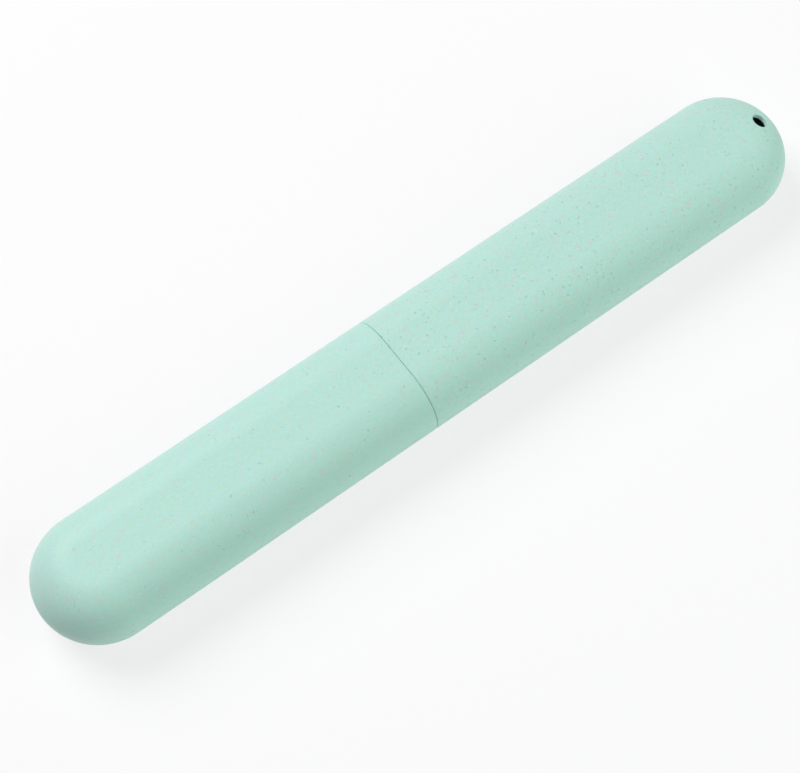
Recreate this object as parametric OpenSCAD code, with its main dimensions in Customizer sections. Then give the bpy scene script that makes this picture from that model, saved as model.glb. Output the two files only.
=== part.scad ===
// Travel toothbrush case: two moulded shells of one oval section with rounded ends.
// The cap slides over a neck on the body, and a small vent near its tip lets the bristles dry.
// X runs along the case with the cap at +X, Z is up, and the origin is under the middle of the case.

/* [Case] */
// Length of the closed case over both tips
case_length = 205; // [170:1:230]
// Width of the case over its round sides
case_width = 30; // [24:0.5:40]
// Height of the case; its sides are round over the whole height
case_height = 20; // [16:0.5:23]
// Rounding of the two rims that meet at the seam
rim_round = 0.3; // [0.1:0.05:0.35]

/* [Body] */
// Length of the body from its tip to the shoulder at the seam
body_length = 95; // [80:1:120]
// Length of the neck, from the shoulder to its rim
neck_length = 12; // [10:0.5:20]
// Wall of the neck
neck_wall = 0.8; // [0.6:0.05:1.5]
// Depth of the bevel that leads the neck into the cap
neck_lead = 0.3; // [0.1:0.05:0.5]
// Distance from the shoulder to the middle of the holding bead
bead_place = 6.5; // [4:0.5:7]
// Width of the holding bead at its foot
bead_width = 1.6; // [0.8:0.1:2.4]
// Height of the holding bead above the neck
bead_height = 0.1; // [0.05:0.01:0.14]

/* [Cap] */
// Wall of the cap
cap_wall = 1; // [0.7:0.05:2]
// Depth of the bevel inside the cap's mouth
mouth_lead = 0.25; // [0.1:0.05:0.3]
// Depth of the groove that the bead rests in
groove_depth = 0.1; // [0.05:0.05:0.3]
// Radius of the vent hole
vent_radius = 1.9; // [1:0.05:3]
// Depth of the countersink round the vent hole
vent_sink = 0.1; // [0.05:0.05:0.3]
// Lean of the vent hole from upright towards the tip, in degrees
vent_lean = 28; // [10:1:60]
// Turn of the vent hole about the centre of the round end, off the middle line, in degrees
vent_turn = -6; // [-30:1:30]

/* [Fit] */
// Clearance between the neck and the cap, all round
fit_gap = 0.2; // [0.15:0.05:0.4]
// Gap between the shoulder and the cap's rim, which shows as the seam
seam_gap = 0.03; // [0.02:0.01:0.3]

/* [Hidden] */
$fn = 96;

mint = [0.72, 0.88, 0.83];
overrun = 1;

// The oval is two half rounds with a flat between them, and the round ends are half as wide as it.
side_radius = case_height / 2;
end_radius = case_width / 2;
flat_half = end_radius - side_radius;

// Radii of the half rounds from the outside inwards: every wall lies parallel to the oval.
bore_radius = side_radius - cap_wall;
neck_radius = bore_radius - fit_gap;
cavity_radius = neck_radius - neck_wall;

// Each shell is worked out from the centre of its round end, with the tip at +X.
// Its mouth is then at -X, at the length of its straight stretch.
case_straight = case_length / 2 - end_radius;
body_straight = body_length - end_radius;
cap_straight = case_length - body_length - seam_gap - end_radius;

// The bead's crown is half as wide as its foot, and the groove is wider than both by the fit.
bead_crown_share = 0.5;
bead_half = bead_width / 2;
crown_half = bead_half * bead_crown_share;

// The bevels that lead the neck into the cap are twice as long as they are deep.
lead_slope = 2;

// Facets over a rim's quarter round.
rim_steps = 4;

// How far the shell's curved top falls away at the vent hole's edge.
vent_fall = side_radius - sqrt(pow(side_radius, 2) - pow(vent_radius, 2));

body_outside = concat(
    [
        [-body_straight - neck_length, neck_radius - neck_lead],
        [-body_straight - neck_length + lead_slope * neck_lead, neck_radius]
    ],
    ridge(-body_straight - bead_place, bead_half, crown_half, neck_radius, bead_height),
    [[-body_straight, neck_radius]],
    rounded_rim(-body_straight)
);
body_inside = [[-body_straight - neck_length - overrun, cavity_radius]];

cap_outside = rounded_rim(-cap_straight);
cap_inside = concat(
    [
        [-cap_straight - overrun, bore_radius + mouth_lead],
        [-cap_straight, bore_radius + mouth_lead],
        [-cap_straight + lead_slope * mouth_lead, bore_radius]
    ],
    ridge(
        -cap_straight - seam_gap + bead_place,
        bead_half + fit_gap, crown_half + fit_gap,
        bore_radius, groove_depth
    )
);

// Bead or groove as stations along X with the radius there: foot, crown, crown, foot.
function ridge(x, foot_half, top_half, radius, rise) = [
    [x - foot_half, radius],
    [x - top_half, radius + rise],
    [x + top_half, radius + rise],
    [x + foot_half, radius]
];

// Outer rim at x as stations along X with the radius there: a quarter round out to the full section.
function rounded_rim(x) = [
    for (i = [0 : rim_steps])
        let (turn = 90 * i / rim_steps)
            [x + rim_round * (1 - cos(turn)), side_radius - rim_round * (1 - sin(turn))]
];

// Stations with their radius, closed onto the axis at both ends.
function closed(stations) = concat(
    [[stations[0][0], 0]],
    stations,
    [[stations[len(stations) - 1][0], 0]]
);

// The same stations below the axis, in reverse.
function below(stations) = [
    for (i = [len(stations) - 1 : -1 : 0]) [stations[i][0], -stations[i][1]]
];

// Half of a solid turned about the X axis, on the side of +Y.
module half_turned(stations) {
    rotate([0, 90, 0])
        rotate_extrude(angle = 180)
            polygon([for (s = closed(stations)) [s[1], s[0]]]);
}

// Solid with the oval as its section: half rounds at both sides and a slab between them.
module oval_solid(stations) {
    for (side = [0, 1])
        mirror([0, side, 0])
            translate([0, flat_half, 0])
                half_turned(stations);
    rotate([90, 0, 0])
        linear_extrude(2 * flat_half, center = true)
            polygon(concat(stations, below(stations)));
}

// Rounded end: one side of the oval, turned half way round an upright axis.
module round_end(radius) {
    rotate([0, 0, -90])
        rotate_extrude(angle = 180)
            intersection() {
                union() {
                    translate([0, -radius])
                        square([flat_half, 2 * radius]);
                    translate([flat_half, 0])
                        circle(radius);
                }
                translate([0, -radius])
                    square([flat_half + radius, 2 * radius]);
            }
}

// Outside or inside of one shell: its stations from the mouth, then straight on into the round end.
module shell_solid(stations, radius) {
    oval_solid(concat(stations, [[0, radius]]));
    round_end(radius);
}

// Body shell with the neck that the cap slides over, its bead and the lead-in at its rim.
module body() {
    color(mint)
        translate([-case_straight, 0, side_radius])
            mirror([1, 0, 0])
                difference() {
                    shell_solid(body_outside, side_radius);
                    shell_solid(body_inside, cavity_radius);
                }
}

// Cutter for the vent hole and its countersink, standing on the axis of the round end.
module vent_cutter() {
    sink_height = vent_sink + vent_fall + overrun;
    cylinder(h = side_radius + overrun, r = vent_radius);
    translate([0, 0, side_radius - vent_sink - vent_fall])
        cylinder(h = sink_height, r1 = vent_radius, r2 = vent_radius + sink_height);
}

// Cap shell with its mouth, the groove for the bead and the vent hole square to its surface.
module cap() {
    color(mint)
        translate([case_straight, 0, side_radius])
            difference() {
                shell_solid(cap_outside, side_radius);
                shell_solid(cap_inside, bore_radius);
                rotate([0, 0, vent_turn])
                    translate([flat_half, 0, 0])
                        rotate([0, vent_lean, 0])
                            vent_cutter();
            }
}

body();
cap();
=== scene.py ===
import math
from collections import namedtuple

import bpy
from mathutils import Matrix, Vector

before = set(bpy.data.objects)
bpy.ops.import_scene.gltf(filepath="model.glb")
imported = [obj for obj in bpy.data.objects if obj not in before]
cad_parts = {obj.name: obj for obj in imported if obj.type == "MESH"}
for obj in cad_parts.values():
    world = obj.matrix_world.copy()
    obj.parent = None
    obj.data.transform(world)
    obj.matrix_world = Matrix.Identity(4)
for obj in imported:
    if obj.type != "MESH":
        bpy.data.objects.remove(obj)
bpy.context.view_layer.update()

bl_info = {
    "name": "Toothbrush case",
    "version": (1, 0, 0),
    "blender": (4, 5, 0),
    "location": "3D View > Sidebar > Case",
    "description": "Finishes the two shells of a travel toothbrush case and sets its stage",
    "category": "Object",
}

MILLIMETRE = 0.001
WHITE = (1.0, 1.0, 1.0, 1.0)
NOISE_MIDDLE = (0.5, 0.5, 0.5)

# The mint swings between a fresh and a rosy tint, and between a bluish and a yellowish one.
# Each row is how far red, green and blue swing either way where the mottling is 1.
ROSY_SWING = (0.55, -0.25, -0.15)
BLUE_SWING = (0.0, 0.0, 0.4)
# Range of the mint's shade where the mottling is 1, and range of its roughness.
SHADE_SWING = 1.5
ROUGHNESS_SWING = 0.12
# Widths of the lumps in which the mint swings, and of the mould grain.
ROSY_LUMPS = 1.0 * MILLIMETRE
BLUE_LUMPS = 1.1 * MILLIMETRE
SHADE_LUMPS = 0.55 * MILLIMETRE
GRAIN_LUMPS = 0.3 * MILLIMETRE
# The bluish lumps are moved away from the rosy ones, in metres.
BLUE_SHIFT = (0.7, 0.3, 0.5)
# A tint is all one colour where its noise is below the first value, and all the other above the second.
TINT_FROM = 0.3
TINT_TO = 0.7

# A fleck is full within the first share of its thickness and gone past the second.
FLECK_CORE = 0.25
FLECK_EDGE = 0.6
# The flecks' edges wander by up to half the reach, in lumps of this width.
RAGGED_LUMPS = 0.45 * MILLIMETRE
RAGGED_REACH = 0.5 * MILLIMETRE
# How far the flecks of one kind are moved away from those of the kind before, in metres.
KINDS_APART = Vector((0.13, 0.29, 0.17))
FIRST_KIND_AT = Vector((0.13, 0.0, 0.0))
# Height of a fleck on the surface, as a share of the grain's depth.
FLECK_RELIEF = 0.5

PLASTIC_IOR = 1.46
PLASTIC_SPECULAR = 0.4

# Width in metres of the table's faint clouds, and their colour as a share of the table's.
CLOUD_WIDTH = 0.4
CLOUD_SHADE = 0.995
TABLE_ROUGHNESS = 0.8
# The table is plain white from this many times the distance at which its fade starts.
FADE_LENGTH = 2.0
# Faces along each side of the table.
FLOOR_CELLS = 8

# The point that the camera looks at, near the middle of the case.
CAMERA_AIM = Vector((-7.812, -1.433, 7.262)) * MILLIMETRE
# Width of the camera's sensor in millimetres, and the distances in metres between which it sees.
SENSOR_WIDTH = 36.0
NEAREST_SEEN = 0.01
FARTHEST_SEEN = 50.0

# One kind of fleck: the name of its colour, the width of the cells that hold one each, its length and
# thickness, how strongly it shows at most, and how fast the kind thins out in a less full shell.
FleckKind = namedtuple("FleckKind", "colour_name spacing length thickness strongest thinning")

FLECK_KINDS = (
    FleckKind("husk", 1.7 * MILLIMETRE, 0.9 * MILLIMETRE, 1.05 * MILLIMETRE, 0.23, 0.75),
    FleckKind("bran", 1.2 * MILLIMETRE, 0.3 * MILLIMETRE, 0.5 * MILLIMETRE, 0.31, 1.8),
    FleckKind("straw", 1.8 * MILLIMETRE, 1.2 * MILLIMETRE, 0.34 * MILLIMETRE, 0.35, 1.0),
    FleckKind("chaff", 0.9 * MILLIMETRE, 0.25 * MILLIMETRE, 0.4 * MILLIMETRE, 0.4, 1.6),
)

# One round soft lamp: turn and height in degrees, distance and width in metres, power in watts.
Softbox = namedtuple("Softbox", "name turn height distance width power colour")

SOFTBOXES = (
    Softbox("key_light", 195.0, 50.0, 1.0, 0.728, 8.4, (1.0, 1.0, 1.0)),
    Softbox("fill_light", 30.0, 33.0, 0.9, 1.04, 4.91, (0.838, 1.0, 0.908)),
)


def colour_property(name, description, default):
    return bpy.props.FloatVectorProperty(
        name=name, description=description, default=default, min=0.0, max=1.0, size=3, subtype="COLOR"
    )


def share_property(name, description, default):
    return bpy.props.FloatProperty(
        name=name, description=description, default=default, min=0.0, max=1.0, subtype="FACTOR"
    )


def length_property(name, description, default, least=0.0):
    return bpy.props.FloatProperty(
        name=name, description=description, default=default, min=least, subtype="DISTANCE", unit="LENGTH"
    )


def angle_property(name, description, degrees):
    return bpy.props.FloatProperty(
        name=name,
        description=description,
        default=math.radians(degrees),
        subtype="ANGLE",
        unit="ROTATION",
    )


class PlasticSettings(bpy.types.PropertyGroup):
    """What a user would change in the fibre-flecked plastic."""

    mint: colour_property("Mint", "Colour of the plastic between its flecks", (0.494, 0.753, 0.679))
    husk: colour_property("Husk", "Colour of the soft pink flakes", (0.79, 0.49, 0.545))
    bran: colour_property("Bran", "Colour of the dark specks", (0.17, 0.205, 0.2))
    straw: colour_property("Straw", "Colour of the thin tan fibres", (0.419, 0.346, 0.225))
    chaff: colour_property("Chaff", "Colour of the pale specks", (0.81, 0.87, 0.86))
    body_flecks: share_property("Flecks in the body", "How full of flecks the body is", 0.4)
    cap_flecks: share_property("Flecks in the cap", "How full of flecks the cap is", 1.0)
    mottling: share_property("Mottling", "How much the mint varies from place to place", 0.08)
    roughness: share_property("Roughness", "How matt the moulded surface is", 0.5)
    grain_depth: length_property(
        "Grain depth", "Depth of the fine grain that the mould leaves", 0.004 * MILLIMETRE
    )


class StageSettings(bpy.types.PropertyGroup):
    """The floor, the light and the camera."""

    floor_width: length_property("Floor width", "Side of the square floor", 6.0, 0.5)
    floor_colour: colour_property("Floor colour", "Colour of the table top", (0.95, 0.95, 0.95))
    floor_whiteness: share_property(
        "Floor whiteness", "How much of the table's look near the case doesn't follow the light", 0.73
    )
    floor_seen_lit: colour_property(
        "Lit floor", "Colour of the part of the table's look that follows the light", (0.965, 0.952, 1.0)
    )
    floor_seen_white: colour_property(
        "White floor", "Colour of the part of the table's look that doesn't", (1.0, 0.988, 0.985)
    )
    fade_start: length_property(
        "Fade start", "Distance from the case at which the table starts to fade into plain white", 0.3, 0.1
    )
    world_light: bpy.props.FloatProperty(
        name="World light", description="Strength of the light from all round", default=0.13, min=0.0
    )
    camera_height: angle_property("Camera height angle", "Angle of the view above the table", 64.801)
    camera_turn: angle_property("Camera turn", "Angle of the view round the upright axis", -36.7115)
    camera_distance: length_property(
        "Camera distance", "Distance from the camera to the case", 501.51 * MILLIMETRE, 0.05
    )
    camera_lens: bpy.props.FloatProperty(
        name="Lens", description="Focal length in millimetres", default=100.106, min=10.0, unit="CAMERA"
    )


class Wire:
    """One socket that a node gives, on which Python's operators add the maths nodes."""

    def __init__(self, bench, socket):
        self.bench = bench
        self.socket = socket

    def maths(self, operation, *others):
        return self.bench.number(operation, self, *others)

    def __add__(self, other):
        return self.bench.number("ADD", self, other)

    def __radd__(self, other):
        return self.bench.number("ADD", other, self)

    def __sub__(self, other):
        return self.bench.number("SUBTRACT", self, other)

    def __rsub__(self, other):
        return self.bench.number("SUBTRACT", other, self)

    def __mul__(self, other):
        return self.bench.number("MULTIPLY", self, other)

    def __rmul__(self, other):
        return self.bench.number("MULTIPLY", other, self)

    def __truediv__(self, other):
        return self.bench.number("DIVIDE", self, other)

    def __lt__(self, other):
        return self.bench.number("LESS_THAN", self, other)


class Bench:
    """The node tree of one material, or of the world, while it is put together."""

    def __init__(self, owner):
        owner.use_nodes = True
        self.tree = owner.node_tree
        self.tree.nodes.clear()

    def add(self, kind, settings=None, inputs=None):
        """Adds a node: its settings first, then the values or wires of its sockets."""
        node = self.tree.nodes.new(kind)
        for name, value in (settings or {}).items():
            setattr(node, name, value)
        for name, value in (inputs or {}).items():
            socket = node.inputs[name]
            if isinstance(value, Wire):
                self.tree.links.new(value.socket, socket)
            else:
                socket.default_value = value
        return node

    def wire(self, node, output=0):
        return Wire(self, node.outputs[output])

    def number(self, operation, *values):
        inputs = dict(enumerate(values))
        return self.wire(self.add("ShaderNodeMath", {"operation": operation}, inputs))

    def vector(self, operation, *values):
        inputs = dict(enumerate(values))
        output = "Value" if operation in ("DOT_PRODUCT", "LENGTH") else "Vector"
        node = self.add("ShaderNodeVectorMath", {"operation": operation}, inputs)
        return self.wire(node, output)

    def scaled(self, vector, scale):
        node = self.add("ShaderNodeVectorMath", {"operation": "SCALE"}, {0: vector, "Scale": scale})
        return self.wire(node, "Vector")

    def blend(self, share, first, second):
        """Mixes two colours: all of the second where share is 1."""
        settings = {"data_type": "RGBA", "blend_type": "MIX", "clamp_factor": True}
        node = self.add("ShaderNodeMix", settings, {0: share, 6: first, 7: second})
        return self.wire(node, 2)

    def fade(self, value, low, high):
        """0 below low, 1 above high, smooth between them. Low may be above high."""
        settings = {"interpolation_type": "SMOOTHSTEP"}
        inputs = {"Value": value, "From Min": low, "From Max": high, "To Min": 0.0, "To Max": 1.0}
        return self.wire(self.add("ShaderNodeMapRange", settings, inputs), "Result")

    def seen(self):
        """1 for what the camera, a reflection or a clear material shows, 0 for light itself."""
        path = self.add("ShaderNodeLightPath")
        looks = self.wire(path, "Is Camera Ray")
        looks = looks.maths("MAXIMUM", self.wire(path, "Is Glossy Ray"))
        return looks.maths("MAXIMUM", self.wire(path, "Is Transmission Ray"))

    def noise(self, place, size, detail=2.0, roughness=0.5, output="Fac"):
        """Soft noise from 0 to 1 whose lumps are about size across."""
        inputs = {"Vector": place, "Scale": 1.0 / size, "Detail": detail, "Roughness": roughness}
        node = self.add("ShaderNodeTexNoise", {"noise_dimensions": "3D"}, inputs)
        return self.wire(node, output)


def rgba(colour):
    return (colour[0], colour[1], colour[2], 1.0)


def tinted(colour, swing, strength):
    """The colour with its red, green and blue each changed by its own part of the swing."""
    return rgba([part * (1.0 + strength * change) for part, change in zip(colour, swing)])


def mottled_mint(bench, place, shade_noise, settings):
    """Colour of the plastic between its flecks, which varies softly in tint and in shade."""
    fresh = tinted(settings.mint, ROSY_SWING, -settings.mottling)
    rosy = tinted(settings.mint, ROSY_SWING, settings.mottling)
    rosiness = bench.noise(place, ROSY_LUMPS, detail=1.0)
    colour = bench.blend(bench.fade(rosiness, TINT_FROM, TINT_TO), fresh, rosy)
    bluish = tinted(WHITE, BLUE_SWING, settings.mottling)
    yellowish = tinted(WHITE, BLUE_SWING, -settings.mottling)
    warmth = bench.noise(bench.vector("ADD", place, BLUE_SHIFT), BLUE_LUMPS, detail=1.0)
    tint = bench.blend(bench.fade(warmth, TINT_FROM, TINT_TO), bluish, yellowish)
    shade = 1.0 + (shade_noise - 0.5) * (settings.mottling * SHADE_SWING)
    return bench.scaled(bench.vector("MULTIPLY", colour, tint), shade)


def flecks_of(bench, place, kind, fullness):
    """Short fibres scattered through the plastic, cut open where they meet its skin.

    Returns how strongly a fibre shows, from 0 to 1, with a strength of its own for each fibre.
    """
    cell = bench.add(
        "ShaderNodeTexVoronoi",
        {"voronoi_dimensions": "3D", "feature": "F1", "distance": "EUCLIDEAN"},
        {"Vector": place, "Scale": 1.0 / kind.spacing, "Randomness": 1.0},
    )
    middle = bench.wire(cell, "Position")
    lie = bench.vector("SUBTRACT", bench.wire(cell, "Color"), NOISE_MIDDLE)
    lie = bench.vector("NORMALIZE", lie)
    offset = bench.vector("SUBTRACT", place, middle)
    half = kind.length / 2.0
    along = bench.vector("DOT_PRODUCT", offset, lie)
    along = along.maths("MAXIMUM", -half).maths("MINIMUM", half)
    away = bench.vector("LENGTH", bench.vector("SUBTRACT", offset, bench.scaled(lie, along)))
    shape = bench.fade(away, kind.thickness * FLECK_EDGE, kind.thickness * FLECK_CORE)
    luck = bench.add("ShaderNodeTexWhiteNoise", {"noise_dimensions": "3D"}, {"Vector": middle})
    # A cell is empty where chance is over 1. Squared, it leaves most flecks faint and a few strong.
    chance = bench.wire(luck, "Value") / fullness ** kind.thinning
    return shape * (chance < 1.0) * chance * chance * kind.strongest


def fibre_plastic(name, fullness, settings):
    """Matt mint plastic filled with ground plant fibre."""
    material = bpy.data.materials.new(name)
    bench = Bench(material)
    place = bench.wire(bench.add("ShaderNodeTexCoord"), "Object")
    shade_noise = bench.noise(place, SHADE_LUMPS)
    colour = mottled_mint(bench, place, shade_noise, settings)

    wander = bench.noise(place, RAGGED_LUMPS, detail=1.0, output="Color")
    wander = bench.scaled(bench.vector("SUBTRACT", wander, NOISE_MIDDLE), RAGGED_REACH)
    ragged_place = bench.vector("ADD", place, wander)
    relief = 0.0
    for number, kind in enumerate(FLECK_KINDS):
        kind_place = bench.vector("ADD", ragged_place, FIRST_KIND_AT + KINDS_APART * number)
        shows = flecks_of(bench, kind_place, kind, fullness)
        colour = bench.blend(shows, colour, rgba(getattr(settings, kind.colour_name)))
        relief = shows + relief

    grain = bench.noise(place, GRAIN_LUMPS, detail=3.0, roughness=0.6)
    height = grain + relief * FLECK_RELIEF
    bump = bench.add(
        "ShaderNodeBump", None, {"Strength": 1.0, "Distance": settings.grain_depth, "Height": height}
    )
    shader = bench.add(
        "ShaderNodeBsdfPrincipled",
        None,
        {
            "Base Color": colour,
            "Roughness": settings.roughness + (shade_noise - 0.5) * ROUGHNESS_SWING,
            "Normal": bench.wire(bump, "Normal"),
            "IOR": PLASTIC_IOR,
            "Specular IOR Level": PLASTIC_SPECULAR,
        },
    )
    bench.add("ShaderNodeOutputMaterial", None, {"Surface": bench.wire(shader, "BSDF")})
    return material


def table_top(settings):
    """Smooth white table, which looks a little brighter than the light on it and fades to white."""
    material = bpy.data.materials.new("white_table")
    bench = Bench(material)
    place = bench.wire(bench.add("ShaderNodeTexCoord"), "Object")
    seen = bench.seen()
    distance = bench.vector("LENGTH", place)
    far = bench.fade(distance, settings.fade_start, settings.fade_start * FADE_LENGTH)
    clouded = rgba([part * CLOUD_SHADE for part in settings.floor_colour])
    lit = bench.blend(bench.noise(place, CLOUD_WIDTH), clouded, rgba(settings.floor_colour))
    lit = bench.blend(seen, lit, rgba(settings.floor_seen_lit))
    shader = bench.add(
        "ShaderNodeBsdfPrincipled",
        None,
        {"Base Color": lit, "Roughness": TABLE_ROUGHNESS, "Specular IOR Level": 0.0},
    )
    glow_colour = bench.blend(far, rgba(settings.floor_seen_white), WHITE)
    glow = bench.add("ShaderNodeEmission", None, {"Color": glow_colour, "Strength": 1.0})
    whiteness = settings.floor_whiteness + far * (1.0 - settings.floor_whiteness)
    both = bench.add(
        "ShaderNodeMixShader",
        None,
        {0: seen * whiteness, 1: bench.wire(shader, "BSDF"), 2: bench.wire(glow, "Emission")},
    )
    bench.add("ShaderNodeOutputMaterial", None, {"Surface": bench.wire(both, "Shader")})
    material.cycles.emission_sampling = "NONE"
    return material


def dress(node_name, material):
    """Gives a CAD node a material in each of its slots."""
    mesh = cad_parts[node_name].data
    if not mesh.materials:
        mesh.materials.append(material)
    for slot in range(len(mesh.materials)):
        mesh.materials[slot] = material


class CASE_OT_body_shell(bpy.types.Operator):
    """Finishes the body, the shell with the neck"""

    bl_idname = "case.body_shell"
    bl_label = "Finish the body"

    def execute(self, context):
        settings = context.scene.case_plastic
        dress("body", fibre_plastic("body_plastic", settings.body_flecks, settings))
        return {"FINISHED"}


class CASE_OT_cap_shell(bpy.types.Operator):
    """Finishes the cap, the shell with the vent hole"""

    bl_idname = "case.cap_shell"
    bl_label = "Finish the cap"

    def execute(self, context):
        settings = context.scene.case_plastic
        dress("cap", fibre_plastic("cap_plastic", settings.cap_flecks, settings))
        return {"FINISHED"}


def add_floor(settings):
    """The table top, at the height that the case rests on."""
    bpy.ops.object.select_all(action="DESELECT")
    bpy.ops.mesh.primitive_grid_add(
        x_subdivisions=FLOOR_CELLS,
        y_subdivisions=FLOOR_CELLS,
        size=settings.floor_width,
        location=(0.0, 0.0, 0.0),
    )
    floor = bpy.context.object
    floor.name = "table"
    floor.data.materials.append(table_top(settings))


def direction(turn, height):
    """Unit vector from the case towards a place at a turn round it and an angle above the table."""
    level = math.cos(height)
    return Vector((math.sin(turn) * level, -math.cos(turn) * level, math.sin(height)))


def add_softbox(softbox):
    """A round soft lamp aimed at the case."""
    back = direction(math.radians(softbox.turn), math.radians(softbox.height))
    lamp = bpy.data.lights.new(softbox.name, "AREA")
    lamp.shape = "DISK"
    lamp.size = softbox.width
    lamp.energy = softbox.power
    lamp.color = softbox.colour
    stand = bpy.data.objects.new(softbox.name, lamp)
    bpy.context.scene.collection.objects.link(stand)
    stand.rotation_mode = "QUATERNION"
    stand.rotation_quaternion = (-back).to_track_quat("-Z", "Y")
    stand.location = back * softbox.distance


def add_world(strength):
    """White surroundings, which light the case faintly but look plain white."""
    world = bpy.data.worlds.new("studio")
    bpy.context.scene.world = world
    bench = Bench(world)
    brightness = strength + bench.seen() * (1.0 - strength)
    around = bench.add("ShaderNodeBackground", None, {"Color": WHITE, "Strength": brightness})
    bench.add("ShaderNodeOutputWorld", None, {"Surface": bench.wire(around, "Background")})
    world.cycles.sampling_method = "NONE"


def add_camera(settings):
    """The camera at the photograph's viewing angle, tilted to neither side."""
    back = direction(settings.camera_turn, settings.camera_height)
    right = Vector((math.cos(settings.camera_turn), math.sin(settings.camera_turn), 0.0))
    up = back.cross(right)
    camera = bpy.data.cameras.new("photo_camera")
    camera.sensor_fit = "AUTO"
    camera.sensor_width = SENSOR_WIDTH
    camera.lens = settings.camera_lens
    camera.clip_start = NEAREST_SEEN
    camera.clip_end = FARTHEST_SEEN
    tripod = bpy.data.objects.new("photo_camera", camera)
    bpy.context.scene.collection.objects.link(tripod)
    turned = Matrix((right, up, back)).transposed().to_4x4()
    tripod.matrix_world = Matrix.Translation(CAMERA_AIM + back * settings.camera_distance) @ turned
    bpy.context.scene.camera = tripod


class CASE_OT_stage(bpy.types.Operator):
    """Adds the table, the soft light and the camera"""

    bl_idname = "case.stage"
    bl_label = "Set the stage"

    def execute(self, context):
        settings = context.scene.case_stage
        add_floor(settings)
        for softbox in SOFTBOXES:
            add_softbox(softbox)
        add_world(settings.world_light)
        add_camera(settings)
        context.scene.view_settings.view_transform = "Standard"
        return {"FINISHED"}


class CASE_PT_panel(bpy.types.Panel):
    """The case's steps and what can be changed in them"""

    bl_idname = "CASE_PT_panel"
    bl_label = "Toothbrush case"
    bl_space_type = "VIEW_3D"
    bl_region_type = "UI"
    bl_category = "Case"

    def draw(self, context):
        layout = self.layout
        for operator in (CASE_OT_body_shell, CASE_OT_cap_shell, CASE_OT_stage):
            layout.operator(operator.bl_idname)
        for group in (context.scene.case_plastic, context.scene.case_stage):
            column = layout.column()
            for name in group.__annotations__:
                column.prop(group, name)


CLASSES = (
    PlasticSettings,
    StageSettings,
    CASE_OT_body_shell,
    CASE_OT_cap_shell,
    CASE_OT_stage,
    CASE_PT_panel,
)


def register():
    for each in CLASSES:
        bpy.utils.register_class(each)
    bpy.types.Scene.case_plastic = bpy.props.PointerProperty(type=PlasticSettings)
    bpy.types.Scene.case_stage = bpy.props.PointerProperty(type=StageSettings)


def unregister():
    del bpy.types.Scene.case_stage
    del bpy.types.Scene.case_plastic
    for each in reversed(CLASSES):
        bpy.utils.unregister_class(each)


def main():
    register()
    bpy.ops.case.body_shell()
    bpy.ops.case.cap_shell()
    bpy.ops.case.stage()


if __name__ == "__main__":
    main()
